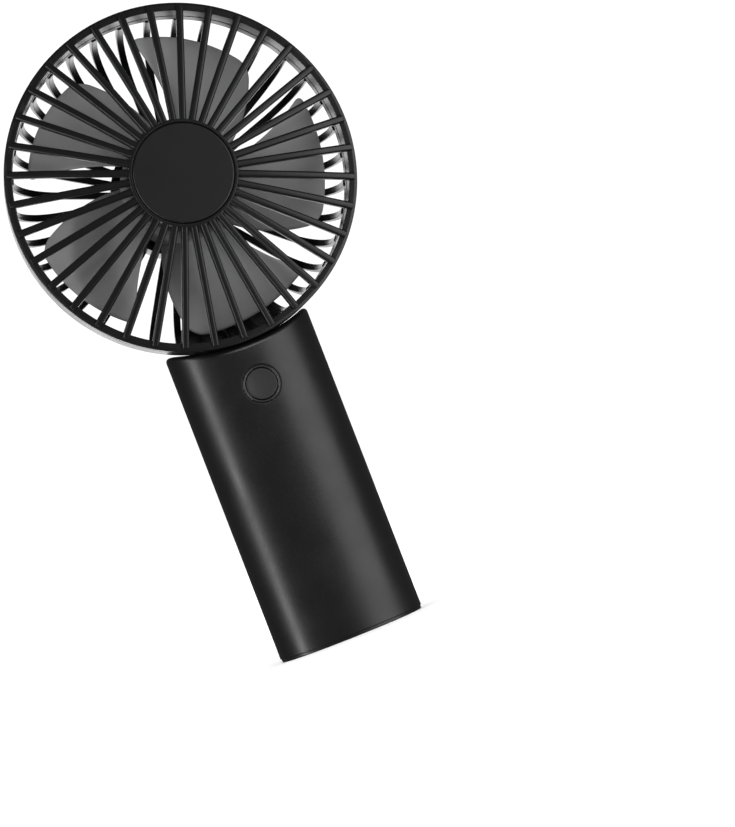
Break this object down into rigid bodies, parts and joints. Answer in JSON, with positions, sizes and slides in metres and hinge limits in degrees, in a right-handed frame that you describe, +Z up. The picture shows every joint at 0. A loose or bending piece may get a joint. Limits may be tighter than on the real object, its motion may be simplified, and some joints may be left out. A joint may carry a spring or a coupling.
{
  "type": "handheld electric fan",
  "caption": "Battery-powered handheld fan: round ribbed guards round a bladed impeller, on a straight oval handle with a push button and a charging socket.",
  "frame": {"origin": "centre of the flat foot under the handle", "axes": "+Z up along the handle, -Y out of the front of the fan, +X to the right as seen from the front"},
  "size_m": [0.098, 0.0382, 0.1852],
  "materials": {
    "black_plastic": "fine satin grain",
    "grey_plastic": "matt, moulded through",
    "bezel_gloss": "polished",
    "steel": "brushed",
    "dark_steel": "black oxide",
    "magnet": "sintered, dull",
    "bronze": "sintered, oiled",
    "alloy": "die-cast",
    "copper": "enamelled wire",
    "circuit_board": "solder mask",
    "chip": "moulded epoxy",
    "nylon": "natural nylon",
    "cell": "heat-shrink sleeve",
    "foam": "closed-cell foam",
    "lead_insulation": "silicone"
  },
  "bodies": {
    "housing": {"front_ring": "black_plastic", "front_ribs": "black_plastic", "front_hub": "black_plastic", "guard_cap": "black_plastic", "rear_band": "black_plastic", "rear_ribs": "black_plastic", "rear_panel": "black_plastic", "rear_hub": "black_plastic", "front_bearing": "bronze", "rear_bearing": "bronze", "motor_base": "alloy", "stator_core": "steel", "stator_coils": "copper", "motor_board": "circuit_board", "driver_parts": "chip", "motor_screws": "steel", "handle_front": "black_plastic", "handle_rear": "black_plastic", "handle_screws": "dark_steel", "base_cap": "black_plastic", "button_bezel": "bezel_gloss", "switch_body": "chip", "main_board": "circuit_board", "board_parts": "chip", "board_screws": "steel", "battery_cell": "cell", "battery_tabs": "steel", "battery_pad": "foam", "charge_board": "circuit_board", "charge_parts": "chip", "usb_shell": "steel", "usb_tongue": "chip", "motor_leads": "lead_insulation", "battery_leads": "lead_insulation"},
    "rotor": {"impeller": "grey_plastic", "rotor_cup": "steel", "magnet_ring": "magnet", "motor_shaft": "steel", "shaft_clip": "dark_steel", "thrust_washer": "nylon"},
    "button": {"power_button": "black_plastic", "switch_plunger": "nylon"}
  },
  "joints": [
    {"name": "rotor_spin", "type": "hinge", "parent": "housing", "child": "rotor", "pos_m": [0, 0, 0.1362], "axis": [0, 1, 0], "continuous": true},
    {"name": "button_press", "type": "slide", "parent": "housing", "child": "button", "axis": [0, 1, 0], "range_m": [0, 0.0004], "stiffness_N_per_m": 2500}
  ]
}
